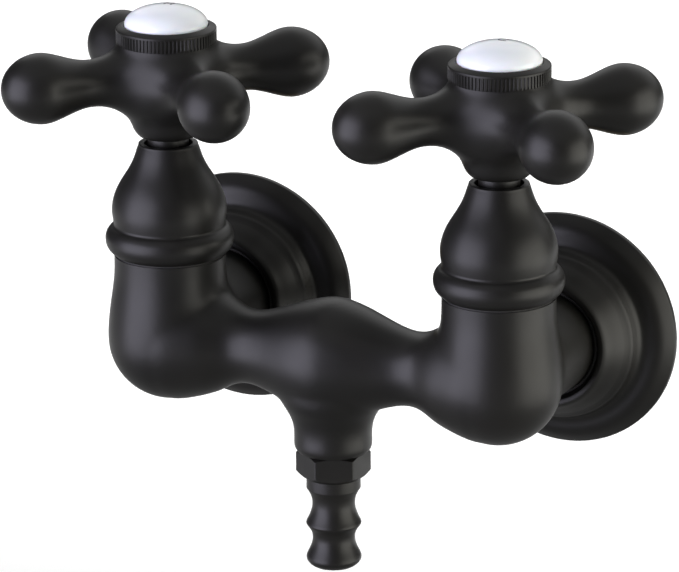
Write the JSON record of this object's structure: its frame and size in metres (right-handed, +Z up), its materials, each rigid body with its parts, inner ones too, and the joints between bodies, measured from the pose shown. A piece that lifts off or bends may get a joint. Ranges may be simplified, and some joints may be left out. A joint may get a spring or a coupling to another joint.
{
  "type": "wall mounted bath faucet",
  "caption": "Two-handle wall mounted bath faucet with bell bonnets, cross handles, porcelain index buttons, round wall flanges and a barbed hose outlet below its bridge.",
  "frame": {"origin": "midway between the two inlet shanks, on the face of the wall", "axes": "+X towards the cold side, +Y into the wall, +Z up"},
  "size_m": [0.1498, 0.1004, 0.1343],
  "materials": {
    "dark_finish": "satin near-black bronze coating on cast brass",
    "brass": "machined",
    "spindle_brass": "machined, darkened",
    "steel": "plain",
    "rubber": "matte black",
    "alumina": "lapped",
    "porcelain": "glossy white glaze"
  },
  "bodies": {
    "faucet_body": {"body_casting": "dark_finish", "hot_wall_flange": "dark_finish", "cold_wall_flange": "dark_finish", "hot_flange_gasket": "rubber", "cold_flange_gasket": "rubber", "hot_flange_ring": "rubber", "cold_flange_ring": "rubber", "hot_inlet_shank": "brass", "cold_inlet_shank": "brass", "hot_shank_seal": "rubber", "cold_shank_seal": "rubber", "hot_wall_washer": "rubber", "cold_wall_washer": "rubber", "hot_slip_washer": "steel", "cold_slip_washer": "steel", "hot_lock_nut": "brass", "cold_lock_nut": "brass", "hot_seat_seal": "rubber", "cold_seat_seal": "rubber", "hot_fixed_disc": "alumina", "cold_fixed_disc": "alumina", "hot_cartridge_housing": "brass", "cold_cartridge_housing": "brass", "hot_cartridge_seal": "rubber", "cold_cartridge_seal": "rubber", "hot_bonnet": "dark_finish", "cold_bonnet": "dark_finish", "hot_bonnet_ring": "rubber", "cold_bonnet_ring": "rubber", "hose_nozzle": "dark_finish", "nozzle_seal": "rubber"},
    "hot_tap": {"hot_handle": "dark_finish", "hot_handle_screw": "steel", "hot_index_ring": "dark_finish", "hot_index_button": "porcelain", "hot_spindle": "spindle_brass", "hot_spindle_seal": "rubber", "hot_spindle_clip": "steel", "hot_moving_disc": "alumina"},
    "cold_tap": {"cold_handle": "dark_finish", "cold_handle_screw": "steel", "cold_index_ring": "dark_finish", "cold_index_button": "porcelain", "cold_spindle": "spindle_brass", "cold_spindle_seal": "rubber", "cold_spindle_clip": "steel", "cold_moving_disc": "alumina"}
  },
  "joints": [
    {"name": "hot_handle_turn", "type": "hinge", "parent": "faucet_body", "child": "hot_tap", "pos_m": [-0.04285, -0.0424, 0.0635], "axis": [0, 0, 1], "range_deg": [0, 90]},
    {"name": "cold_handle_turn", "type": "hinge", "parent": "faucet_body", "child": "cold_tap", "pos_m": [0.04285, -0.0424, 0.0635], "axis": [0, 0, 1], "range_deg": [-90, 0]}
  ]
}
